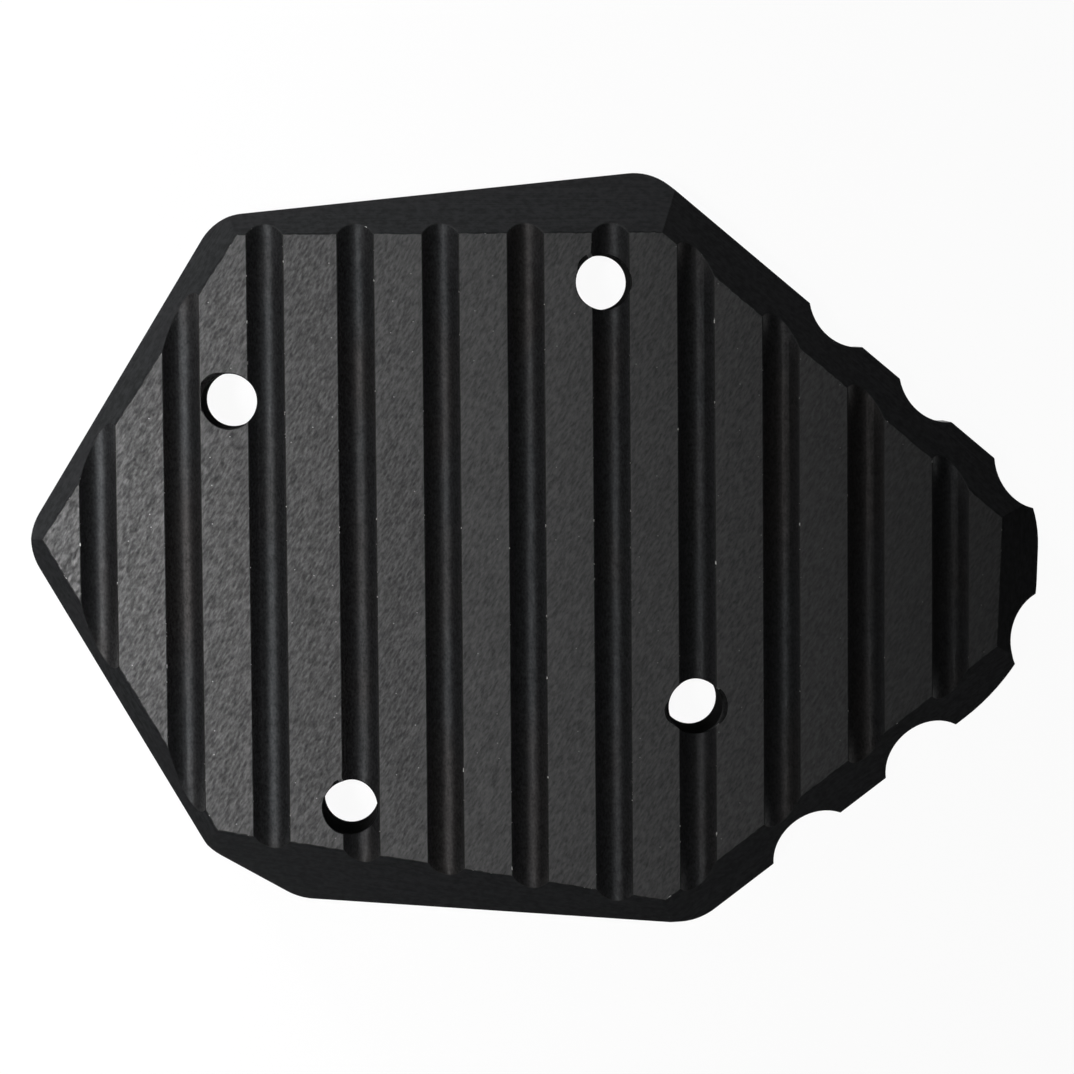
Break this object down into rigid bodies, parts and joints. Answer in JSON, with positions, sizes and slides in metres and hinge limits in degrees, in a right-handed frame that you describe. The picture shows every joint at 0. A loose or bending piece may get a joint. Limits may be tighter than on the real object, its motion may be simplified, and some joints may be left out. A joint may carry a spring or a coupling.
{
  "type": "kickstand foot enlarger",
  "caption": "Flat milled plate with a grooved ground face, sloping rim walls and a scalloped nose, screwed under a side stand's foot to spread its load.",
  "frame": {"origin": "middle of the plate's bounding box, on the flat face that sits against the stand", "axes": "+X from the pointed tip to the scalloped nose, +Y along the grooves, +Z out of the grooved ground face"},
  "size_m": [0.12, 0.0896, 0.012],
  "materials": {
    "foot_plate": "satin black anodised"
  },
  "bodies": {
    "root": {"foot_plate": "foot_plate"}
  },
  "joints": []
}
